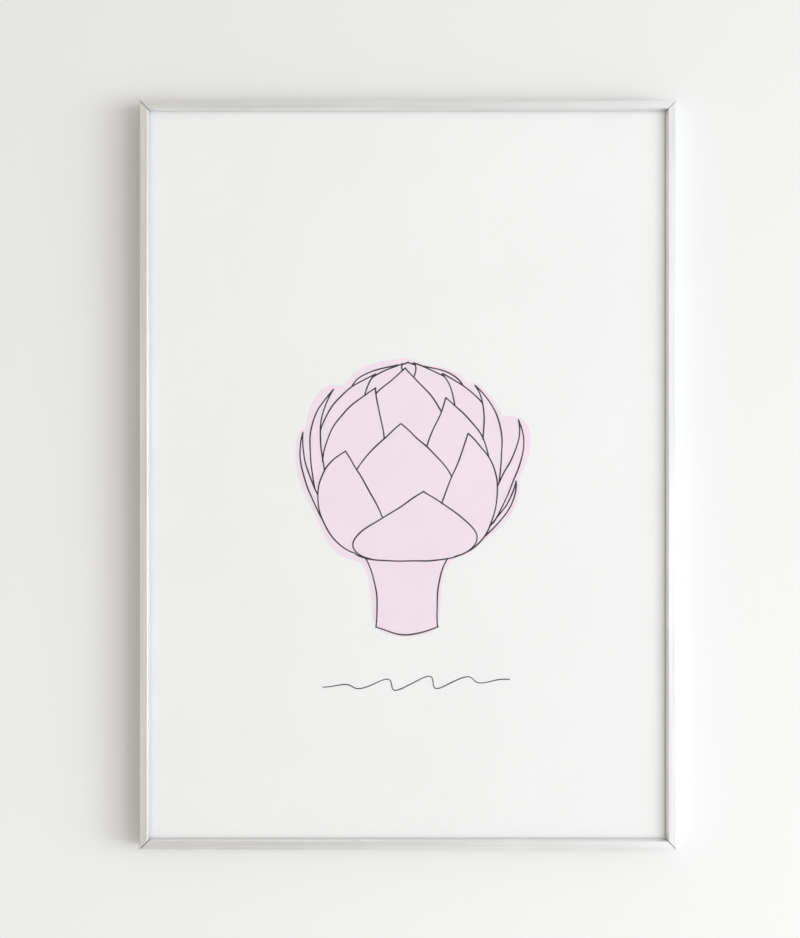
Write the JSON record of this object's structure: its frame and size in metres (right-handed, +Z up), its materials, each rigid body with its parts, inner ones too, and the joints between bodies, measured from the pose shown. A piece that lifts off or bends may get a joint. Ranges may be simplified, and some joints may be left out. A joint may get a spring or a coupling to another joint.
{
  "type": "framed print",
  "caption": "Slim mitred aluminium picture frame holding a glazed line-art print, with a fibreboard back, spring clips and slotted hangers for a wall.",
  "frame": {"origin": "centre of the bounding box: the middle of the picture, halfway between the frame's front and the wall plane", "axes": "+Z up the picture, +X to the viewer's right, +Y into the wall; the picture faces -Y"},
  "size_m": [0.506, 0.0242, 0.706],
  "materials": {
    "aluminium": "satin clear anodised extrusion with fine lengthwise grain",
    "glass": "clear float glass, polished",
    "paper": "heavy matt art paper, warm white",
    "ink": "matt charcoal ink line on the paper",
    "wash": "flat pale pink wash printed on the paper",
    "fibreboard": "raw medium-density fibreboard, fine fibres",
    "zinc_steel": "bright zinc plating, slightly mottled",
    "spring_steel": "blued spring steel strip",
    "rubber": "soft translucent grey bumper rubber"
  },
  "bodies": {
    "root": {"rail_top": "aluminium", "rail_bottom": "aluminium", "rail_left": "aluminium", "rail_right": "aluminium", "glazing": "glass", "print": "paper", "backing_board": "fibreboard", "plain_angle_bottom_left": "zinc_steel", "tapped_angle_bottom_left": "zinc_steel", "set_screw_bottom_left_a": "zinc_steel", "set_screw_bottom_left_b": "zinc_steel", "plain_angle_bottom_right": "zinc_steel", "tapped_angle_bottom_right": "zinc_steel", "set_screw_bottom_right_a": "zinc_steel", "set_screw_bottom_right_b": "zinc_steel", "plain_angle_top_right": "zinc_steel", "tapped_angle_top_right": "zinc_steel", "set_screw_top_right_a": "zinc_steel", "set_screw_top_right_b": "zinc_steel", "plain_angle_top_left": "zinc_steel", "tapped_angle_top_left": "zinc_steel", "set_screw_top_left_a": "zinc_steel", "set_screw_top_left_b": "zinc_steel", "spring_clip_left_1": "spring_steel", "spring_clip_left_2": "spring_steel", "spring_clip_left_3": "spring_steel", "spring_clip_right_1": "spring_steel", "spring_clip_right_2": "spring_steel", "spring_clip_right_3": "spring_steel", "spring_clip_top_1": "spring_steel", "spring_clip_top_2": "spring_steel", "spring_clip_bottom_1": "spring_steel", "spring_clip_bottom_2": "spring_steel", "hanger_left": "zinc_steel", "hanger_right": "zinc_steel", "wall_bumper_left": "rubber", "wall_bumper_right": "rubber"}
  },
  "joints": []
}
